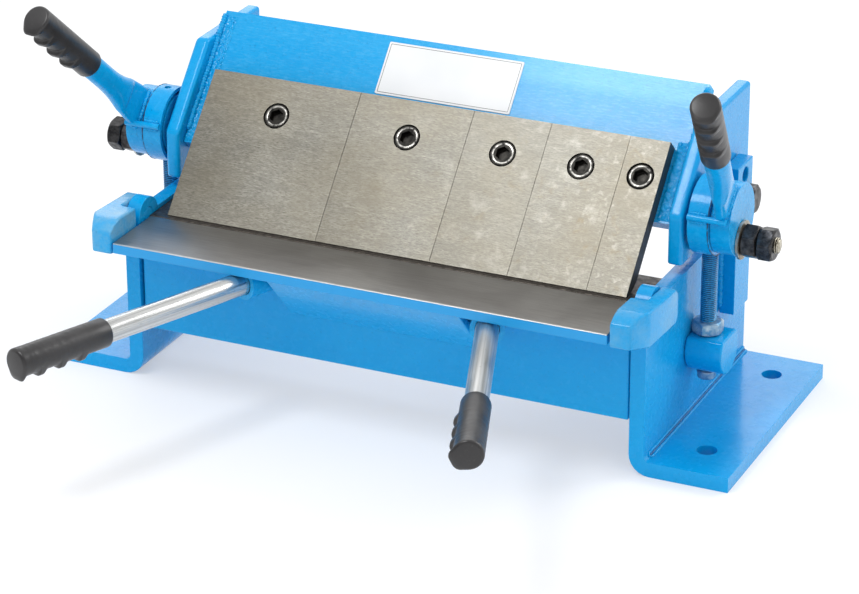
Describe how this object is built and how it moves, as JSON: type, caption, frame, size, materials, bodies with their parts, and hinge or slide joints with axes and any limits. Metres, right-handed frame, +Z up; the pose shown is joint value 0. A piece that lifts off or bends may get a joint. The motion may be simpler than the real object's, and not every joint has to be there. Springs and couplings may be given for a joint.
{
  "type": "sheet metal brake",
  "caption": "Bench box and pan brake: a lever-clamped beam with screwed fingers over a hinged folding leaf with handles, on bolted side frames.",
  "frame": {"origin": "under the middle of the whole machine's box, on the bench", "axes": "+X along the bend line to the operator's right, +Y away from the operator, +Z up"},
  "size_m": [0.451, 0.3622, 0.2518],
  "materials": {
    "blue_enamel": "glossy sky-blue enamel over welded steel",
    "ground_steel": "ground bare steel, grain along the bend line",
    "rolled_steel": "oiled bare steel, darker than the fingers",
    "bright_zinc": "bright zinc plate",
    "black_oxide": "black oxide",
    "black_grip": "smooth moulded black vinyl"
  },
  "bodies": {
    "base": {"frame_left": "blue_enamel", "frame_right": "blue_enamel", "bed_bar": "rolled_steel", "bed_beam": "blue_enamel", "rear_bar_left": "blue_enamel", "rear_bar_right": "blue_enamel", "pivot_bolt_left": "black_oxide", "pivot_bolt_right": "black_oxide", "pivot_nut_left": "black_oxide", "pivot_nut_right": "black_oxide"},
    "leaf": {"leaf_plate": "rolled_steel", "leaf_web": "blue_enamel", "leaf_brace": "blue_enamel", "leaf_ear_left": "blue_enamel", "leaf_ear_right": "blue_enamel", "hinge_pin_left": "bright_zinc", "hinge_pin_right": "bright_zinc", "handle_socket_left": "blue_enamel", "handle_socket_right": "blue_enamel", "leaf_handle_left": "bright_zinc", "leaf_handle_right": "bright_zinc", "leaf_grip_left": "black_grip", "leaf_grip_right": "black_grip"},
    "beam": {"beam_plate": "blue_enamel", "beam_rib": "blue_enamel", "end_plate_left": "blue_enamel", "end_plate_right": "blue_enamel", "finger_1": "ground_steel", "finger_2": "ground_steel", "finger_3": "ground_steel", "finger_4": "ground_steel", "finger_5": "ground_steel", "finger_screw_1": "black_oxide", "finger_screw_2": "black_oxide", "finger_screw_3": "black_oxide", "finger_screw_4": "black_oxide", "finger_screw_5": "black_oxide", "clamp_stud_left": "bright_zinc", "clamp_stud_right": "bright_zinc", "stud_washer_left": "black_oxide", "stud_washer_right": "black_oxide", "stud_nut_left": "black_oxide", "stud_nut_right": "black_oxide", "stud_lock_nut_left": "black_oxide", "stud_lock_nut_right": "black_oxide"},
    "lever_left": {"cam_hub_left": "blue_enamel", "lever_arm_left": "blue_enamel", "lever_grip_left": "black_grip"},
    "lever_right": {"cam_hub_right": "blue_enamel", "lever_arm_right": "blue_enamel", "lever_grip_right": "black_grip"},
    "rod_left": {"eye_ring_left": "blue_enamel", "pull_rod_left": "blue_enamel", "rod_lock_nut_left": "bright_zinc", "trunnion_block_left": "blue_enamel"},
    "rod_right": {"eye_ring_right": "blue_enamel", "pull_rod_right": "blue_enamel", "rod_lock_nut_right": "bright_zinc", "trunnion_block_right": "blue_enamel"}
  },
  "joints": [
    {"name": "leaf_fold", "type": "hinge", "parent": "base", "child": "leaf", "pos_m": [0, 0.02363, 0.104], "axis": [-1, 0, 0], "range_deg": [0, 95]},
    {"name": "beam_lift", "type": "hinge", "parent": "base", "child": "beam", "pos_m": [0, 0.14563, 0.128], "axis": [-1, 0, 0], "range_deg": [0, 9.8]},
    {"name": "lever_left_turn", "type": "hinge", "parent": "beam", "child": "lever_left", "pos_m": [-0.19505, 0.08763, 0.1265], "axis": [-1, 0, 0], "range_deg": [0, 80]},
    {"name": "lever_right_turn", "type": "hinge", "parent": "beam", "child": "lever_right", "pos_m": [0.19505, 0.08763, 0.1265], "axis": [-1, 0, 0], "range_deg": [0, 80]},
    {"name": "rod_left_swing", "type": "hinge", "parent": "base", "child": "rod_left", "pos_m": [-0.1821, 0.08763, 0.0535], "axis": [-1, 0, 0], "range_deg": [0, 10.2]},
    {"name": "rod_right_swing", "type": "hinge", "parent": "base", "child": "rod_right", "pos_m": [0.1821, 0.08763, 0.0535], "axis": [-1, 0, 0], "range_deg": [0, 10.2]}
  ],
  "couplings": [
    {"joint": "lever_left_turn", "follows": "beam_lift", "ratio": 8.16},
    {"joint": "lever_right_turn", "follows": "beam_lift", "ratio": 8.16},
    {"joint": "rod_left_swing", "follows": "beam_lift", "ratio": 1.034},
    {"joint": "rod_right_swing", "follows": "beam_lift", "ratio": 1.034}
  ]
}
